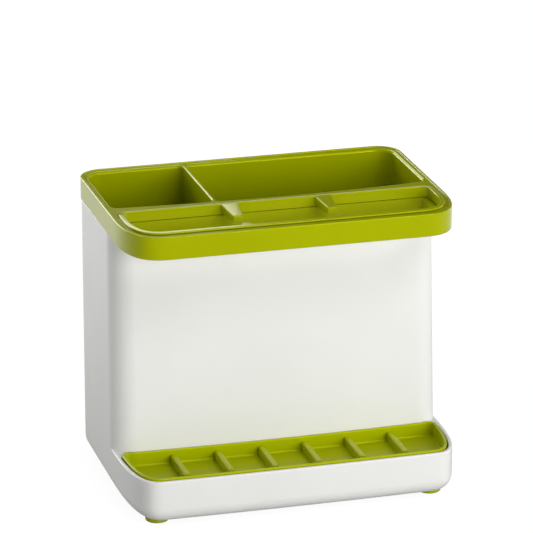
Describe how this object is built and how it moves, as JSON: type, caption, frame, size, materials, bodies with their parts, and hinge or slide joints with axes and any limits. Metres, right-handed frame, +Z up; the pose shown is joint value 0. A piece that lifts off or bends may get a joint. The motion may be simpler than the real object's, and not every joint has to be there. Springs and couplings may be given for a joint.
{
  "type": "sink tidy",
  "caption": "Free-standing sink tidy: white bin with a low front shelf and drip tray, and a green lift-off organiser with cups and a brush slot.",
  "frame": {"origin": "on the surface that the tidy stands on, under the middle of its overall width and depth", "axes": "+X along the width, to the right seen from the front; +Y to the back, so the shelf with the drip tray faces -Y; +Z up"},
  "size_m": [0.1906, 0.1374, 0.1682],
  "materials": {
    "white_plastic": "satin moulded white plastic",
    "gloss_green_plastic": "glossy moulded lime green plastic",
    "satin_green_plastic": "satin moulded lime green plastic",
    "green_rubber": "soft moulded rubber"
  },
  "bodies": {
    "bin": {"white_body": "white_plastic", "foot_front_left": "green_rubber", "foot_front_right": "green_rubber", "foot_back_left": "green_rubber", "foot_back_right": "green_rubber"},
    "organiser": {"organiser_top": "gloss_green_plastic"},
    "insert": {"slot_insert": "gloss_green_plastic"},
    "tray": {"drip_tray": "satin_green_plastic"}
  },
  "joints": [
    {"name": "organiser_lift", "type": "slide", "parent": "bin", "child": "organiser", "axis": [0, 0, 1], "range_m": [0, 0.09]},
    {"name": "insert_lift", "type": "slide", "parent": "organiser", "child": "insert", "axis": [0, 0, 1], "range_m": [0, 0.03]},
    {"name": "tray_lift", "type": "slide", "parent": "bin", "child": "tray", "axis": [0, 0, 1], "range_m": [0, 0.04]}
  ]
}
